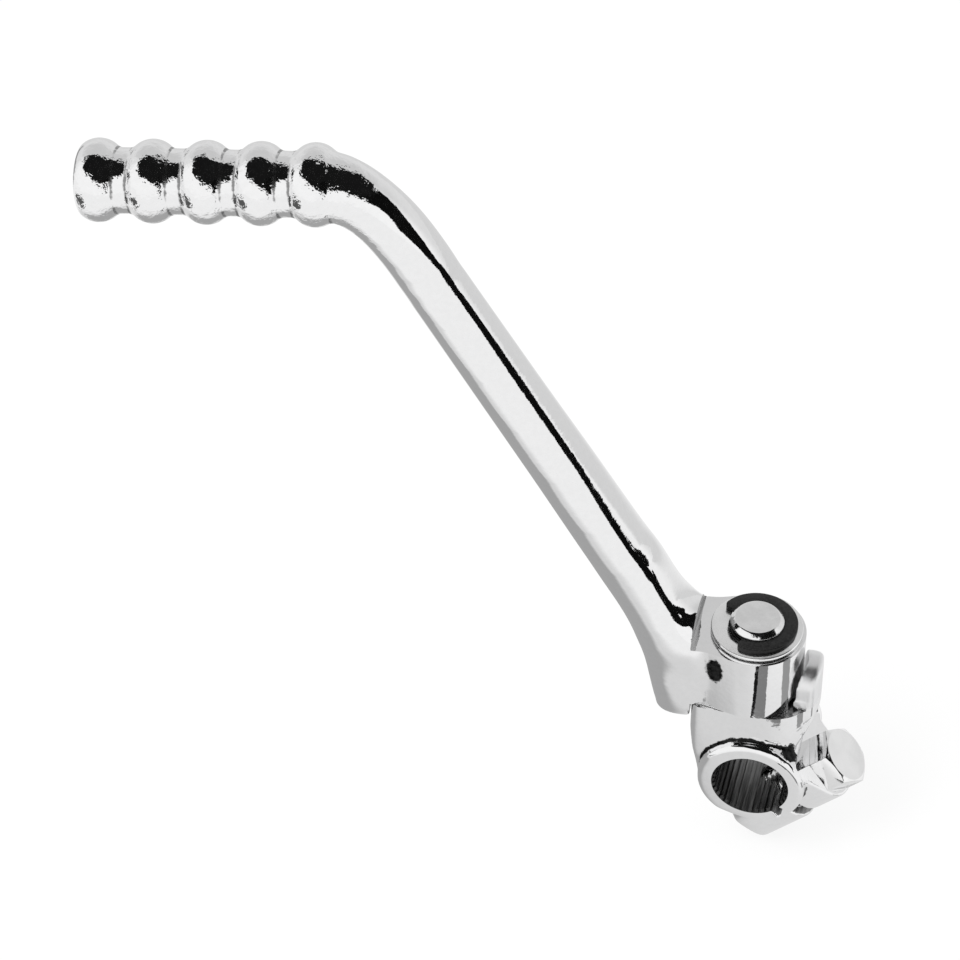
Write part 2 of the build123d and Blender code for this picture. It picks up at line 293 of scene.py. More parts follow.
clipSet = {"scale": 2600.0, "depth": 0.02, "tone": (0.006, 0.022), "rough": (0.34, 0.5), "gloss": 0.25}


def blackPhosphate(name):
    made, place = newFinish(name)
    fine = noise(place, clipSet["scale"], 3.0, 0.6)
    shade = fine.ramp(*wideSpan, *clipSet["tone"])
    sheen = fine.ramp(*noiseSpan, *clipSet["rough"])
    endFinish(grey(shade), sheen, fine * clipSet["depth"], metal=0.0, gloss=clipSet["gloss"])
    return made


# dark patches on the lever's boss and on the hub's ring: their spot, radius, squash and fraying
bossDarkSpot = {
    "spot": (-9.5 * mm, -9.3 * mm, 30.6 * mm),
    "radius": 2.0 * mm,
    "squash": (1, 1, 0.6),
    "frayed": 0.8,
}
ringDarkSpot = {
    "spot": (7.3 * mm, -8.9 * mm, 8.8 * mm),
    "radius": 2.3 * mm,
    "squash": (1, 1, 1),
    "frayed": 2.4,
}
leverChrome = chromePlate(
    "leverChrome", pegFrom=(-88 * mm, -78 * mm), creviceShade=0.7, ragged=0.35, darkSpot=bossDarkSpot
)
hubChrome = chromePlate("hubChrome", darkSpot=ringDarkSpot, satinFrom=(19.4 * mm, 20.6 * mm))
boltZinc = steelPlate("boltZinc", tone=0.95, rough=0.1, grain=900.0, depth=0.008)
pinSteel = pinPlate("pinSteel")
boreBareAndShade = boreSteel("boreBareAndShade", dark=0.12, light=0.42)
# painted shade: a darker copy of the bore steel, for the lead-in at the bore's near mouth
boreMouthShade = boreSteel("boreMouthShade", dark=0.03, light=0.10)
wallSteel = steelPlate("wallSteel", tone=0.38, rough=0.25, grain=700.0, depth=0.05)
deckSteel = steelPlate("deckSteel", tone=0.9, rough=0.2, grain=520.0, depth=0.12)
washerSteel = steelPlate("washerSteel", tone=0.93, rough=0.2, grain=1500.0, depth=0.003)
clipBlack = blackPhosphate("clipBlack")
ballSteel = steelPlate("ballSteel", tone=0.75, rough=0.08, grain=1800.0, depth=0.004)
springSteel = steelPlate("springSteel", tone=0.5, rough=0.25, grain=2400.0, depth=0.008)
print("materials made")

# Meshes
cadWeld = 2e-6  # points nearer than this are one
treeWeld = 1e-6
planeGap = 0.02 * mm  # a face this near to a plane lies on it
planeFacing = 0.999
roundSteps = 72


@contextmanager
def editing(mesh):
    # the mesh as a bmesh, written back at the end
    build = bmesh.new()
    build.from_mesh(mesh)
    yield build
    build.to_mesh(mesh)
    build.free()


def solidCopy(node, name):
    # the node's loose triangles, merged into one closed skin
    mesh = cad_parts[node].data.copy()
    mesh.name = name
    with editing(mesh) as build:
        bmesh.ops.remove_doubles(build, verts=build.verts, dist=cadWeld)
    mesh.materials.clear()
    return link(bpy.data.objects.new(name, mesh))


def settle(obj):
    # what the modifiers give, as the object's plain mesh
    graph = bpy.context.evaluated_depsgraph_get()
    mesh = bpy.data.meshes.new_from_object(obj.evaluated_get(graph))
    obj.modifiers.clear()
    old = obj.data
    obj.data = mesh
    mesh.name = obj.name
    if old.users == 0:
        bpy.data.meshes.remove(old)
    return obj


def drop(obj):
    mesh = obj.data
    bpy.data.objects.remove(obj)
    bpy.data.meshes.remove(mesh)


def reskin(obj, voxel):
    skin = obj.modifiers.new("skin", "REMESH")
    skin.mode = "VOXEL"
    skin.voxel_size = voxel
    skin.use_smooth_shade = True
    settle(obj)


def points(mesh):
    flat = np.empty(len(mesh.vertices) * 3)
    mesh.vertices.foreach_get("co", flat)
    return flat.reshape(-1, 3)


def setPoints(mesh, spots):
    mesh.vertices.foreach_set("co", spots.ravel())
    mesh.update()


def facings(mesh):
    flat = np.empty(len(mesh.vertices) * 3, dtype=np.float32)
    mesh.vertex_normals.foreach_get("vector", flat)
    return flat.reshape(-1, 3)


def neighbours(mesh):
    ends = np.empty(len(mesh.edges) * 2, dtype=np.int64)
    mesh.edges.foreach_get("vertices", ends)
    here = np.concatenate([ends[0::2], ends[1::2]])
    there = np.concatenate([ends[1::2], ends[0::2]])
    return here, there, np.maximum(np.bincount(here, minlength=len(mesh.vertices)), 1)


def averages(spots, here, there, count):
    # the middle of each point's neighbours
    sums = [np.bincount(here, spots[there, k], len(spots)) for k in range(3)]
    return np.stack([total / count for total in sums], axis=1)


def relax(obj, rounds, mask):
    # where the mask is 1, a round moves a point halfway to the middle of its neighbours
    spots = points(obj.data)
    joined = neighbours(obj.data)
    pull = 0.5 * mask(spots)[:, None]
    for _ in range(rounds):
        spots = spots + pull * (averages(spots, *joined) - spots)
    setPoints(obj.data, spots)


def swell(obj, depth):
    # gives back along the normals what a long relax takes from a round piece
    spots = points(obj.data)
    setPoints(obj.data, spots + depth(spots)[:, None] * facings(obj.data))


def hollows(obj, rounds, deep):
    # how far the skin lies below its own average, from 0 to 1
    joined = neighbours(obj.data)
    start = points(obj.data)
    spots = start
    for _ in range(rounds):
        spots = averages(spots, *joined)
    depth = ((spots - start) * facings(obj.data)).sum(axis=1)
    return start, np.clip(depth / deep, 0, 1)


def keepHollows(obj, start, depth):
    # the nearest measured point's hollow, for each point of the finished mesh, kept as the mask of painted
    # shade in the hollows
    tree = KDTree(len(start))
    for index, spot in enumerate(start):
        tree.insert(spot, index)
    tree.balance()
    mesh = obj.data
    found = np.array([depth[tree.find(v.co)[1]] for v in mesh.vertices], dtype=np.float32)
    kept = mesh.attributes.new("crevice", "FLOAT", "POINT")
    kept.data.foreach_set("value", found)


def fade(values, low, high):
    share = np.clip((values - low) / (high - low), 0, 1)
    return share * share * (3 - 2 * share)


def closeTo(spots, middle, inner, outer):
    # 1 inside the inner radius, 0 outside the outer
    return fade(-np.linalg.norm(spots - middle, axis=1), -outer, -inner)


def crisp(obj, degrees):
    mesh = obj.data
    mesh.polygons.foreach_set("use_smooth", [True] * len(mesh.polygons))
    mesh.set_sharp_from_angle(angle=math.radians(degrees))


def cylinder(name, radius, low, high, matrix, endRadius=None):
    obj = link(bpy.data.objects.new(name, bpy.data.meshes.new(name)))
    with editing(obj.data) as build:
        bmesh.ops.create_cone(
            build,
            cap_ends=True,
            segments=roundSteps,
            radius1=radius,
            radius2=endRadius or radius,
            depth=high - low,
            matrix=matrix @ Matrix.Translation((0, 0, (low + high) / 2)),
        )
    return obj


def block(name, low, high, matrix):
    obj = link(bpy.data.objects.new(name, bpy.data.meshes.new(name)))
    middle = (Vector(low) + Vector(high)) / 2
    size = Vector(high) - Vector(low)
    shape = matrix @ Matrix.Translation(middle) @ Matrix.Diagonal((*size, 1))
    with editing(obj.data) as build:
        bmesh.ops.create_cube(build, size=1, matrix=shape)
    return obj


def joinInto(obj, other):
    with editing(obj.data) as build:
        build.from_mesh(other.data)
    drop(other)


def cutAway(obj, *cutters):
    for cutter in cutters:
        cut = obj.modifiers.new("cut", "BOOLEAN")
        cut.operation = "DIFFERENCE"
        cut.solver = "MANIFOLD"
        cut.object = cutter
        settle(obj)
        drop(cutter)


def pushOut(obj, spot, facing, by):
    # moves a flat face outward, so that the edges round it are cut later and stay sharp
    with editing(obj.data) as build:
        build.normal_update()
        chosen = []
        for face in build.faces:
            onPlane = abs((face.calc_center_median() - spot).dot(facing)) < planeGap
            if onPlane and face.normal.dot(facing) > planeFacing:
                chosen.append(face)
        raised = bmesh.ops.extrude_face_region(build, geom=chosen)
        corners = [part for part in raised["geom"] if isinstance(part, bmesh.types.BMVert)]
        bmesh.ops.translate(build, verts=corners, vec=facing * by)
        bmesh.ops.delete(build, geom=chosen, context="FACES_ONLY")


def faceOut(obj):
    with editing(obj.data) as build:
        bmesh.ops.recalc_face_normals(build, faces=build.faces)


def finishPiece(obj, node, body, slot, *finishes):
    obj.data.materials.clear()
    for finish in finishes:
        obj.data.materials.append(finish)
    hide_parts(node)
    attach(obj, body)


# Pivot of the fold, and the frame of the pinch bolt, which stands at 45 degrees
pivotX = -2.4 * mm
pivotFrame = Matrix.Translation((pivotX, 0, 0))
boltReach = 11.85 * mm
slant = math.sqrt(0.5)
boltDir = Vector((slant, 0, slant))
slitDir = Vector((slant, 0, -slant))
boltSpot = slitDir * boltReach
boltFrame = frameOf(boltSpot, slitDir, boltDir.cross(slitDir), boltDir)
toBolt = boltFrame.inverted()

# Forged lever: the skin with its machined faces pushed out, then the machined cuts
leverSet = {
    "voxel": 0.42 * mm,
    "stow": 4.0,  # degrees
    "bossTop": 35.3 * mm,
    "bossBottom": 19.3 * mm,
    "webBottom": 15.6 * mm,
    "stopFace": 12.6 * mm,
    "flatReach": 12.4 * mm,
    "flatTurn": -4.6,  # degrees
    "bore": 5.8 * mm,
    "boreSpan": (10 * mm, 50 * mm),
    "wallPush": 4 * mm,
    "topPush": 2.5 * mm,
    "underPush": 2 * mm,
    "rounds": 16,
    "pegFrom": -88 * mm,
    "pegMask": 0.32,  # the peg's rings and the web keep more of their edges
    "webTop": 24 * mm,
    "webMask": 0.24,
    "rootNear": (-15 * mm, -11 * mm),
    "rootFar": (-52 * mm, -38 * mm),
    "rootLow": (26 * mm, 34 * mm),
    "rootRounds": 220,
    "rootSwell": 0.62 * mm,
    "hollowRounds": 10,
    "hollowDeep": 0.14 * mm,
    "wallSkin": 0.05 * mm,  # points this near to the wall's plane lie on it
    "wallFoot": 0.02 * mm,
    "wallRounds": 30,
    "wallSoft": (1.5 * mm, 3.5 * mm),
    "dent": (0, 0.4 * mm, 0.36 * mm),  # takes the fin off the wall's upper corner
    "dentReach": (1 * mm, 5 * mm),
    "dentRise": 1 * mm,
    "wallShadeFrom": -4.5 * mm,  # painted shade along the wall's edge on this side
    "wallDepth": 0.4 * mm,  # faces of the wall, in the darker wall steel, lie this near
    "wallFacing": -0.8,
    "sharp": 40,  # degrees
}
stow = math.radians(leverSet["stow"])
leverOut = Vector((-math.cos(stow), -math.sin(stow), 0))
leverAcross = Vector((math.sin(stow), -math.cos(stow), 0))
leverUp = Vector((0, 0, 1))
leverFrame = frameOf((pivotX, 0, 0), leverOut, leverAcross, leverUp)
flatFrame = leverFrame @ Matrix.Translation((leverSet["flatReach"], 0, leverSet["bossTop"]))
flatFrame = flatFrame @ Matrix.Rotation(math.radians(leverSet["flatTurn"]), 4, "Z")
toFlat = flatFrame.inverted()
wallOut = flatFrame.col[0].xyz


def leverMask(spots):
    mask = np.ones(len(spots))
    mask[spots[:, 0] < leverSet["pegFrom"]] = leverSet["pegMask"]
    mask[spots[:, 2] < leverSet["webTop"]] = leverSet["webMask"]
    return mask


def rootMask(spots):
    # the flare between the web and the round arm
    near = 1 - fade(spots[:, 0], *leverSet["rootNear"])
    far = fade(spots[:, 0], *leverSet["rootFar"])
    return near * far * fade(spots[:, 2], *leverSet["rootLow"])


lever = solidCopy("kick_lever", "forgedLever")
pushOut(lever, flatFrame.translation, -wallOut, leverSet["wallPush"])
pushOut(lever, flatFrame.translation, leverUp, leverSet["topPush"])
for bottom in ("bossBottom", "webBottom"):
    pushOut(lever, Vector((0, 0, leverSet[bottom])), -leverUp, leverSet["underPush"])
reskin(lever, leverSet["voxel"])
relax(lever, leverSet["rounds"], leverMask)
relax(lever, leverSet["rootRounds"], rootMask)
swell(lever, lambda spots: rootMask(spots) * leverSet["rootSwell"])
# the hollows of the lever's skin, measured before the cuts, become painted shade in its chrome
measured = hollows(lever, leverSet["hollowRounds"], leverSet["hollowDeep"])
underEnd = (90 * mm, 40 * mm, leverSet["webBottom"])
stepEnd = (leverSet["stopFace"], 40 * mm, leverSet["bossBottom"])
cutAway(  # apart from the faces that they cut, the blocks reach well past the lever
    lever,
    block("flat", (-45 * mm, -35 * mm, 0), (0, 35 * mm, 45 * mm), flatFrame),
    block("under", (-50 * mm, -40 * mm, -40 * mm), underEnd, leverFrame),
    block("step", (-50 * mm, -40 * mm, -20 * mm), stepEnd, leverFrame),
    cylinder("pinBore", leverSet["bore"], *leverSet["boreSpan"], leverFrame),
)
keepHollows(lever, *measured)

# The wall beside the flat: its upper corner made round, and painted shade along its near edge
wallSpots = [v.co for v in lever.data.vertices if abs((toFlat @ v.co).x) < leverSet["wallSkin"]]
wallTop = np.array(max(wallSpots, key=lambda spot: spot.y + spot.z))
relax(lever, leverSet["wallRounds"], lambda spots: closeTo(spots, wallTop, *leverSet["wallSoft"]))
spots = points(lever.data)
above = (spots - np.array(flatFrame.translation)) @ np.array(flatFrame.col[2].xyz)
proud = fade(above, 0, leverSet["dentRise"]) * closeTo(spots, wallTop, *leverSet["dentReach"])
setPoints(lever.data, spots - proud[:, None] * np.array(leverSet["dent"]))
# painted shade: on the wall's points above its foot, the hollow mask is 1 on the near side and 0 on the far
# side
for vertex, kept in zip(lever.data.vertices, lever.data.attributes["crevice"].data):
    local = toFlat @ vertex.co
    if abs(local.x) < leverSet["wallSkin"] and local.z > leverSet["wallFoot"]:
        kept.value = 1 if vertex.co.y < leverSet["wallShadeFrom"] else 0
crisp(lever, leverSet["sharp"])
finishPiece(lever, "kick_lever", "lever", "lever_chrome", leverChrome, wallSteel)
for face in lever.data.polygons:
    onWall = abs((toFlat @ face.center).x) < leverSet["wallDepth"]
    if onWall and face.normal.dot(wallOut) < leverSet["wallFacing"]:
        face.material_index = 1
print("lever:", len(lever.data.polygons), "faces")

# Hub: the forged skin with its bore filled, then the machined cuts
hubSet = {
    "voxel": 0.3 * mm,
    "rounds": 12,
    "footRounds": 90,
    "footLow": (8.5 * mm, 10.5 * mm),
    "footSide": (-4 * mm, 0),
    "hollowRounds": 14,
    "hollowDeep": 0.22 * mm,
    "boreFill": 8.7 * mm,
    "boreOver": 1.05,  # the bore's cutter is longer than the tube
    "half": 12.0 * mm,
    "crest": 7.8 * mm,
    "root": 8.35 * mm,
    "splines": 36,
    "crestShare": 0.56,
    "leadIn": 0.6 * mm,
    "leadOut": 0.4 * mm,  # the lead-in's cone starts this far outside the ring
    "slit": 2.4 * mm,
    "slitSpan": (-7.9 * mm, 14 * mm),  # from the bolt's axis
    "slitHalf": 20 * mm,
    "slitShadeFrom": 4 * mm,  # further out than this, the slit's faces get the dark bore steel, as painted shade
    "upperHole": 4.3 * mm,
    "upperTop": 9.6 * mm,
    "lowerHole": 4.05 * mm,
    "lowerEnd": -18 * mm,
    "window": 5.5 * mm,
    "windowDepth": 6.0 * mm,
    "lap": 0.1 * mm,
    "pinHole": 5.75 * mm,
    "pinSpan": (9.6 * mm, 24 * mm),
    "tableTop": 19.2 * mm,
    "tablePush": 2 * mm,
    "tableClear": 3 * mm,
    "tabInner": 11.15 * mm,
    "tabHalf": 5.6 * mm,
    "tabShadeReach": 0.9 * mm,  # painted shade along the tab's foot
    "tabBeside": 0.8 * mm,
    "tabBelow": 0.6 * mm,
    "skin": 0.05 * mm,  # faces this near count as the bore's, the slit's or the table's
    "boreSkin": 0.07 * mm,
    "boreEnd": 0.03 * mm,
    "square": 0.9,
    "sharp": 38,  # degrees
}
socketKinds = {float: "NodeSocketFloat", int: "NodeSocketInt", type(None): "NodeSocketMaterial"}


def addTree(name, sizes):
    # a tree with these inputs, the flow of each, and the identifiers of their sockets
    tree = bpy.data.node_groups.new(name, "GeometryNodeTree")
    tree.interface.new_socket(name="Geometry", in_out="OUTPUT", socket_type="NodeSocketGeometry")
    sockets = {}
    for label, value in sizes.items():
        socket = tree.interface.new_socket(name=label, in_out="INPUT", socket_type=socketKinds[type(value)])
        if value is not None:
            socket.default_value = value
        sockets[label] = socket.identifier
    flow = Flow(tree)
    return flow, {label: flow.node("NodeGroupInput", None, None, label) for label in sizes}, sockets


def endTree(geometry, material):
    merged = {"Geometry": geometry, "Distance": treeWeld}
    closed = geometry.node("GeometryNodeMergeByDistance", None, merged)
    real = geometry.node("GeometryNodeRealizeInstances", None, {0: closed})
    dressed = geometry.node("GeometryNodeSetMaterial", None, {"Geometry": real, "Material": material})
    geometry.node("NodeGroupOutput", None, {0: dressed})


def grow(name, tree, sockets, values):
    # an object whose mesh is the tree's result
    obj = link(bpy.data.objects.new(name, bpy.data.meshes.new(name)))
    rule = obj.modifiers.new("rule", "NODES")
    rule.node_group = tree
    for label, value in values.items():
        rule[sockets[label]] = value
    return settle(obj)


def splineTree():
    # a prism with teeth: four points for each spline, turned from the axis Y
    flow, size, sockets = addTree(
        "splineBore",
        {
            "Crest": hubSet["crest"],
            "Root": hubSet["root"],
            "Count": hubSet["splines"],
            "Share": hubSet["crestShare"],
            "Half": hubSet["half"] * hubSet["boreOver"],
            "Material": None,
        },
    )
    sides = {"Vertices": size["Count"] * 4, "Radius": 10 * mm}
    disc = flow.node("GeometryNodeMeshCircle", {"fill_type": "NGON"}, sides)
    index = flow.node("GeometryNodeInputIndex")
    tooth = flow.maths("FLOOR", index / 4)
    corner = index - tooth * 4
    onRoot = corner > 1.5
    step = (corner > 0.5) * size["Share"] + (corner > 2.5) * (1 - size["Share"])
    angle = (tooth + step) / size["Count"] * (2 * math.pi)
    radius = size["Crest"] + onRoot * (size["Root"] - size["Crest"])
    across = flow.maths("COSINE", angle) * radius
    upward = flow.maths("SINE", angle) * radius
    spot = flow.node("ShaderNodeCombineXYZ", None, {0: across, 1: size["Half"] * -1, 2: upward})
    ring = flow.node("GeometryNodeSetPosition", None, {"Geometry": disc, "Position": spot})
    depth = flow.node("ShaderNodeCombineXYZ", None, {0: 0.0, 1: size["Half"] * 2, 2: 0.0})
    drawn = {"Mesh": ring, "Offset": depth, "Individual": False}
    prism = flow.node("GeometryNodeExtrudeMesh", {"mode": "FACES"}, drawn)
    floor = flow.node("GeometryNodeFlipFaces", None, {0: ring})
    both = flow.node("GeometryNodeJoinGeometry", None, {0: [prism, floor]})
    endTree(both, size["Material"])
    return flow.tree, sockets


def footMask(spots):
    # the hollow between the tube and the lower ear, under the bore
    return fade(-spots[:, 2], *hubSet["footLow"]) * fade(-spots[:, 0], *hubSet["footSide"])


alongY = Matrix.Rotation(math.radians(-90), 4, "X")
half = hubSet["half"]
deck = hubSet["tableTop"]
deckTop = deck + hubSet["tableClear"]
tabHalf = hubSet["tabHalf"]
mouth = hubSet["leadIn"] - half
hub = solidCopy("kick_hub", "forgedHub")
joinInto(hub, cylinder("fill", hubSet["boreFill"], -half, half, alongY))
pushOut(hub, Vector((0, 0, deck)), leverUp, hubSet["tablePush"])
reskin(hub, hubSet["voxel"])
relax(hub, hubSet["rounds"], lambda spots: np.ones(len(spots)))
relax(hub, hubSet["footRounds"], footMask)
# the hollows of the hub's skin, measured before the cuts, become painted shade in its chrome
measured = hollows(hub, hubSet["hollowRounds"], hubSet["hollowDeep"])
bore = grow("bore", *splineTree(), {"Material": hubChrome})
faceOut(bore)
leadRadius = hubSet["crest"] + hubSet["leadIn"] + hubSet["leadOut"]
slitFrom, slitTo = hubSet["slitSpan"]
slitLow = (slitFrom, -hubSet["slitHalf"], -hubSet["slit"] / 2)
slitHigh = (slitTo, hubSet["slitHalf"], hubSet["slit"] / 2)
cutAway(  # first the table round the tab, then the clamp's bore, slit and holes
    hub,
    cylinder("deckRound", hubSet["tabInner"], deck, deckTop, pivotFrame),
    block("deckLeft", (-40 * mm, -30 * mm, deck), (6 * mm, 30 * mm, deckTop), Matrix()),
    block("deckNear", (0, -30 * mm, deck), (30 * mm, -tabHalf, deckTop), Matrix()),
    block("deckFar", (0, tabHalf, deck), (30 * mm, 30 * mm, deckTop), Matrix()),
    bore,
    cylinder("leadIn", leadRadius, -half - hubSet["leadOut"], mouth, alongY, hubSet["crest"]),
    block("slit", slitLow, slitHigh, boltFrame),
    cylinder("upperHole", hubSet["upperHole"], 0, hubSet["upperTop"], boltFrame),
    cylinder("lowerHole", hubSet["lowerHole"], hubSet["lowerEnd"], hubSet["lap"], boltFrame),
    cylinder("window", hubSet["window"], -hubSet["windowDepth"], hubSet["lap"], boltFrame),
    cylinder("pinHole", hubSet["pinHole"], *hubSet["pinSpan"], pivotFrame),
)
keepHollows(hub, *measured)
# painted shade along the tab's foot: above the deck the hollow mask fades with distance from the foot
# beside the tab, and is 0 elsewhere
for vertex, kept in zip(hub.data.vertices, hub.data.attributes["crevice"].data):
    spot = vertex.co
    if spot.z > deck - hubSet["tabBelow"]:
        foot = math.hypot(math.hypot(spot.x - pivotX, spot.y) - hubSet["tabInner"], spot.z - deck)
        beside = spot.x > 0 and abs(spot.y) < tabHalf + hubSet["tabBeside"]
        kept.value = max(0, 1 - foot / hubSet["tabShadeReach"]) if beside else 0
crisp(hub, hubSet["sharp"])
finishPiece(hub, "kick_hub", "hub", "hub_chrome", hubChrome, boreBareAndShade, deckSteel, boreMouthShade)


def takesDarkSteel(middle, normal):
    # a face of the bore, of the window round the bolt or of the slit, which get the dark bore steel; on the
    # slit it is painted shade
    local = toBolt @ middle
    inBore = math.hypot(middle.x, middle.z) < hubSet["root"] + hubSet["boreSkin"]
    inBore = inBore and abs(middle.y) < half - hubSet["boreEnd"]
    inWindow = math.hypot(local.x, local.y) < hubSet["window"] + hubSet["lap"]
    inWindow = inWindow and -hubSet["windowDepth"] - hubSet["lap"] < local.z < 0
    inSlit = abs((middle - boltSpot).dot(boltDir)) < hubSet["slit"] / 2 + hubSet["skin"]
    inSlit = inSlit and abs(normal.dot(boltDir)) > hubSet["square"]
    inSlit = inSlit and middle.dot(slitDir) > hubSet["slitShadeFrom"]
    return inBore or inWindow or inSlit


# bore, window and slit faces take the dark bore steel, and those at the near mouth its darker copy as
# painted shade; the deck takes its own steel
for face in hub.data.polygons:
    if takesDarkSteel(face.center, face.normal):
        face.material_index = 3 if face.center.y < mouth else 1
    if face.normal.z > hubSet["square"] and abs(face.center.z - deck) < hubSet["skin"]:
        face.material_index = 2
print("hub:", len(hub.data.polygons), "faces")


# Turned and bought pieces: the solid's own shape with its edges broken
def mergeFlats(obj):
    with editing(obj.data) as build:
        bmesh.ops.dissolve_limit(build, angle_limit=math.radians(1.0), verts=build.verts, edges=build.edges)


def breakEdges(obj, width, steps, degrees):
    edge = obj.modifiers.new("edge", "BEVEL")
    edge.width = width
    edge.segments = steps
    edge.limit_method = "ANGLE"
    edge.angle_limit = math.radians(degrees)
    settle(obj)


turnedEdge = 30  # degrees; flatter edges stay as they are
turnedSharp = 35
turnedSet = {  # each node's piece, its broken edge's width and steps, its finish and its slot
    "pivot_pin": ("pivotPin", 0.25 * mm, 3, pinSteel, "pin_steel"),
    "thrust_washer": ("thrustWasher", 0.18 * mm, 2, washerSteel, "washer_steel"),
    "circlip": ("snapClip", 0.2 * mm, 2, clipBlack, "clip_black"),
}
for node, (name, width, steps, finish, slot) in turnedSet.items():
    piece = solidCopy(node, name)
    mergeFlats(piece)
    breakEdges(piece, width, steps, turnedEdge)
    crisp(piece, turnedSharp)
    finishPiece(piece, node, "hub", slot, finish)

# Pinch bolt: the solid's own head on a screw with a thread
boltSet = {
    "pitch": 1.25 * mm,
    "depth": 0.6 * mm,
    "radius": 3.97 * mm,
    "span": (-15.4 * mm, 9.4 * mm),
    "rows": 170,
    "round": 41,
    "flank": (0.12, 0.88),
    "tip": 1.1 * mm,  # the lower end tapers over this length
    "tipDepth": 1.2,
    "headFrom": 9.0 * mm,
    "edge": 0.15 * mm,
    "edgeSteps": 2,
    "edgeFrom": 25,  # degrees
    "sharp": 32,  # degrees
}
boltLow, boltHigh = boltSet["span"]


def threadTree():
    # a grid rolled into a closed screw: rows along the axis, points round it
    flow, size, sockets = addTree(
        "boltThread",
        {
            "Radius": boltSet["radius"],
            "Depth": boltSet["depth"],
            "Pitch": boltSet["pitch"],
            "Length": boltHigh - boltLow,
            "Rows": boltSet["rows"],
            "Round": boltSet["round"],
            "Material": None,
        },
    )
    sides = {"Size X": size["Length"], "Size Y": 1.0}
    steps = {"Vertices X": size["Rows"], "Vertices Y": size["Round"]}
    grid = flow.node("GeometryNodeMeshGrid", None, {**sides, **steps})
    spot = flow.node("GeometryNodeInputPosition")
    along = spot.axis(0)
    turn = spot.axis(1)
    wave = flow.maths("PINGPONG", along / size["Pitch"] - turn + 40.0, 0.5) * 2  # 40 keeps it above 0
    tip = (along + size["Length"] / 2).ramp(0.0, boltSet["tip"], 1.0, 0.0)
    depth = flow.maths("MAXIMUM", wave.ramp(*boltSet["flank"]), tip * boltSet["tipDepth"]) * size["Depth"]
    inside = flow.maths("ABSOLUTE", along) < size["Length"] * 0.49999  # the end rows close to a point
    radius = (size["Radius"] - depth) * inside
    angle = turn * (2 * math.pi)
    across = flow.maths("COSINE", angle) * radius
    upward = flow.maths("SINE", angle) * radius
    rolled = flow.node("ShaderNodeCombineXYZ", None, {0: across, 1: upward, 2: along})
    screw = flow.node("GeometryNodeSetPosition", None, {"Geometry": grid, "Position": rolled})
    endTree(screw, size["Material"])
    return flow.tree, sockets


thread = grow("thread", *threadTree(), {"Material": boltZinc})
thread.data.transform(boltFrame @ Matrix.Translation((0, 0, (boltLow + boltHigh) / 2)))
bolt = solidCopy("pinch_bolt", "pinchBolt")
mergeFlats(bolt)
headSpot = boltFrame @ Vector((0, 0, boltSet["headFrom"]))
with editing(bolt.data) as build:
    every = build.verts[:] + build.edges[:] + build.faces[:]
    bmesh.ops.bisect_plane(build, geom=every, plane_co=headSpot, plane_no=boltDir, clear_inner=True)
    bmesh.ops.holes_fill(build, edges=[e for e in build.edges if e.is_boundary])
breakEdges(bolt, boltSet["edge"], boltSet["edgeSteps"], boltSet["edgeFrom"])
joinInto(bolt, thread)
faceOut(bolt)
crisp(bolt, boltSet["sharp"])
finishPiece(bolt, "pinch_bolt", "hub", "bolt_plate", boltZinc)
for node, finish in (("detent_ball", ballSteel), ("detent_spring", springSteel)):
    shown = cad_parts[node]
    shown.data.materials.clear()
    shown.data.materials.append(finish)
print("turned pieces made")

# Studio: white floor and tent, with cards that only the chrome shows
studioSet = {
    "floorHalf": 3.0,
    "floorX": -0.11,
    "floorDrop": 0.0245,
    "floorTone": (0.95, 0.95, 0.95, 1),
    "floorGlow": 0.8,  # how white the camera sees the floor, over its shadow
    "underTone": 0.40,  # the floor in the object's own shade, as the chrome shows it
    "midTone": 0.72,
    "farTone": 0.95,
    "shadeEdge": (0.064, 0.082),
    "shadeLong": 0.5,  # the shade is longer along x
    "farEdge": (0.085, 0.135),
    "behindEdge": (0.03, 0.3),
    "behindTone": 0.75,
    "tentLight": 0.9,
    "backEdge": (-0.1, 0.5),
    "backRise": (0.15, 0.65),
    "backLow": 0.78,  # the far side of the room: lighter near the table than above it
    "backHigh": 0.63,
    "sideX": 0.30,
    "rootSlope": 0.75,  # the root's card stands on y = slope * x - front
    "rootFront": 0.042,
    "skyHeight": 0.4,
    "pegX": -0.1,  # the overhead card is laid out as seen from here
    "pegZ": 0.14,
    "cardLift": 0.0005,
}
white = (1, 1, 1, 1)


def rayIs(flow, *kinds):
    # 1 for a ray of any of these kinds
    found = None
    for kind in kinds:
        one = flow.node("ShaderNodeLightPath", None, None, kind)
        found = flow.maths("MAXIMUM", found, one) if found else one
    return found


def panel(name, corners, material):
    mesh = bpy.data.meshes.new(name)
    mesh.from_pydata(corners, [], [tuple(range(len(corners)))])
    mesh.materials.append(material)
    obj = link(bpy.data.objects.new(name, mesh))
    return obj


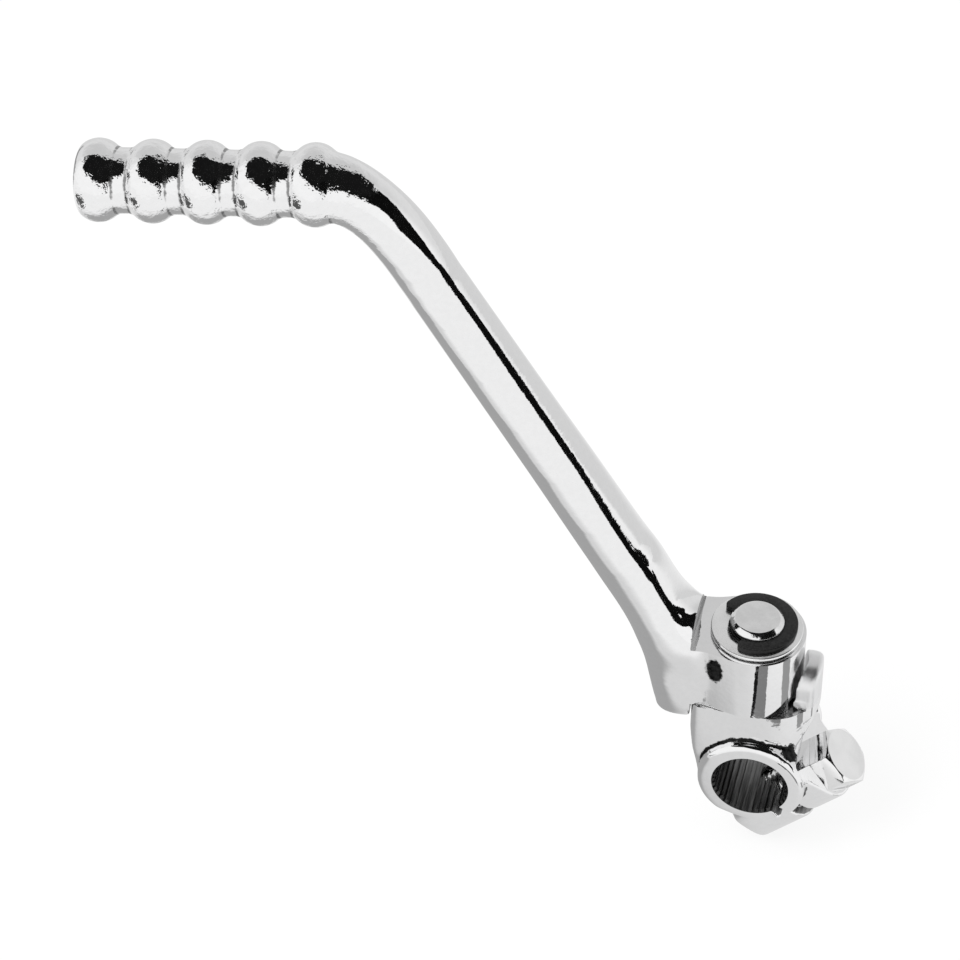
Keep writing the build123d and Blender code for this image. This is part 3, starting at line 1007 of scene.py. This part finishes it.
def floorFinish(name):
    # nearly white to the camera; mirrors see it darker near the object
    made, place = newFinish(name)
    long = place.axis(0)
    deep = place.axis(1)
    away = place.maths("SQRT", long * long * studioSet["shadeLong"] + deep * deep)
    shade = away.ramp(*studioSet["shadeEdge"], studioSet["underTone"], studioSet["midTone"])
    shade = shade + away.ramp(*studioSet["farEdge"], 0.0, studioSet["farTone"] - studioSet["midTone"])
    shade = shade * deep.ramp(*studioSet["behindEdge"], 1.0, studioSet["behindTone"])
    cameraShare = rayIs(place, "Is Camera Ray") * studioSet["floorGlow"]
    mirrorRay = rayIs(place, "Is Glossy Ray", "Is Transmission Ray")
    matte = place.node("ShaderNodeBsdfDiffuse", None, {"Color": studioSet["floorTone"]})
    bright = place.node("ShaderNodeEmission", None, {"Color": white, "Strength": 1.0})
    shown = place.node("ShaderNodeEmission", None, {"Color": grey(shade), "Strength": 1.0})
    seen = place.node("ShaderNodeMixShader", None, {0: cameraShare, 1: matte, 2: bright})
    mixed = place.node("ShaderNodeMixShader", None, {0: mirrorRay, 1: seen, 2: shown})
    place.node("ShaderNodeOutputMaterial", None, {0: mixed})
    return made


wide = studioSet["floorHalf"]
floorCorners = [(-wide, -wide, 0), (wide, -wide, 0), (wide, wide, 0), (-wide, wide, 0)]
floor = panel("studioFloor", floorCorners, floorFinish("studioFloor"))
floor.location = (studioSet["floorX"], 0, -studioSet["floorDrop"])

sideEdge = (  # the side card's outline, its y and z in metres
    (-0.20, -0.06), (-0.16, -0.06), (-0.155, 0.005), (-0.125, 0.024), (-0.088, 0.029), (-0.049, 0.047),
    (-0.009, 0.067), (0.006, 0.084), (0.031, 0.101), (0.028, 0.116), (-0.013, 0.135), (-0.002, 0.211),
    (0.032, 0.268), (0.097, 0.329), (0.13, 0.40), (-0.42, 0.42), (-0.396, 0.387), (-0.245, 0.265),
    (-0.305, 0.181), (-0.167, 0.122), (-0.106, 0.109), (-0.118, 0.087), (-0.136, 0.066), (-0.144, 0.046),
    (-0.161, 0.023), (-0.204, -0.008),
)
rootEdge = (  # a smaller card in front of the root: its x and z, on an upright plane
    (0.0095, 0.041), (0.014, 0.040), (0.015, 0.037), (0.030, 0.038), (0.034, 0.044), (0.034, 0.048),
    (0.027, 0.046), (0.024, 0.050), (0.023, 0.054), (0.026, 0.057), (0.029, 0.062), (0.031, 0.066),
    (0.014, 0.067), (0.011, 0.062), (0.0095, 0.056),
)
leftEdge = ((-0.40, 0.07, -0.02), (-0.33, 0.23, -0.02), (-0.33, 0.23, 0.10), (-0.40, 0.07, 0.10))
skyEdge = (  # the overhead card's edge as azimuth and elevation, seen from the peg
    (-110, 48), (-85, 40), (-65, 38), (-45, 42), (-25, 45), (0, 38), (20, 31), (35, 26), (50, 26),
    (75, 30), (95, 34), (118, 36), (135, 44), (142, 58), (150, 66), (180, 66), (-150, 66), (-120, 58),
)
pegEdge = ((-0.25, -0.10), (-0.30, -0.30), (-0.48, -0.34), (-0.50, -0.06), (-0.30, -0.05))


def rootCorner(x, z):
    return (x, studioSet["rootSlope"] * x - studioSet["rootFront"], z)


def skyCorner(turn, rise):
    # the point of the overhead card that is seen at this azimuth and elevation from the peg
    reach = (studioSet["skyHeight"] - studioSet["pegZ"]) / math.tan(math.radians(rise))
    turn = math.radians(turn)
    return (studioSet["pegX"] + reach * math.sin(turn), -reach * math.cos(turn), studioSet["skyHeight"])


def onTable(*corners):
    return [(x, y, studioSet["cardLift"] - studioSet["floorDrop"]) for x, y in corners]


cards = {  # each card's tone and corners; the last four lie on the table round the object
    "sideCard": (0.004, [(studioSet["sideX"], y, z) for y, z in sideEdge]),
    "rootCard": (0.004, [rootCorner(x, z) for x, z in rootEdge]),
    "leftCard": (0.3, leftEdge),
    "overheadCard": (0.008, [skyCorner(turn, rise) for turn, rise in skyEdge]),
    "pegCard": (0.10, onTable(*pegEdge)),
    "bossLine": (0.01, onTable((0.0036, -0.050), (0.0098, -0.050), (0.0180, -0.066), (0.0090, -0.066))),
    "bossWedge": (0.22, onTable((0.0098, -0.050), (0.0180, -0.066), (0.040, -0.056), (0.028, -0.040))),
    "eastWedge": (0.32, onTable((0.044, -0.014), (0.066, -0.022), (0.068, 0.002), (0.046, 0.002))),
}
for name, (tone, corners) in cards.items():
    made = bpy.data.materials.new(name)
    flow = emptyTree(made)
    shade = flow.node("ShaderNodeEmission", None, {"Color": white, "Strength": tone})
    flow.node("ShaderNodeOutputMaterial", None, {0: shade})
    card = panel(name, corners, made)
    card.visible_camera = False
    card.visible_diffuse = False
    card.visible_shadow = False

# The tent: white to the camera and in mirrors, where its back is greyer, and a little less as light
world = bpy.data.worlds.new("tent")
scene.world = world
flow = emptyTree(world)
plain = rayIs(flow, "Is Camera Ray", "Is Glossy Ray", "Is Transmission Ray")
mirror = rayIs(flow, "Is Glossy Ray", "Is Transmission Ray")
facing = flow.node("ShaderNodeTexCoord", None, None, "Generated")
behind = facing.axis(1).ramp(*studioSet["backEdge"])
dim = facing.axis(2).ramp(*studioSet["backRise"], 1.0 - studioSet["backLow"], 1.0 - studioSet["backHigh"])
strength = studioSet["tentLight"] + plain * (1.0 - studioSet["tentLight"])
strength = strength - mirror * behind * dim
glow = flow.node("ShaderNodeBackground", None, {"Color": white, "Strength": strength})
flow.node("ShaderNodeOutputWorld", None, {0: glow})

lampSet = {"energy": 6, "size": 0.6, "place": (-0.5, -0.5, 0.9), "aim": (-0.05, 0, 0.06)}
lampData = bpy.data.lights.new("keyLamp", "AREA")
lampData.energy = lampSet["energy"]
lampData.size = lampSet["size"]
lamp = link(bpy.data.objects.new("keyLamp", lampData))
lamp.location = lampSet["place"]
lampAim = Vector(lampSet["aim"]) - Vector(lampSet["place"])
lamp.rotation_euler = lampAim.to_track_quat("-Z", "Y").to_euler()
lamp.visible_glossy = False
print("studio set")
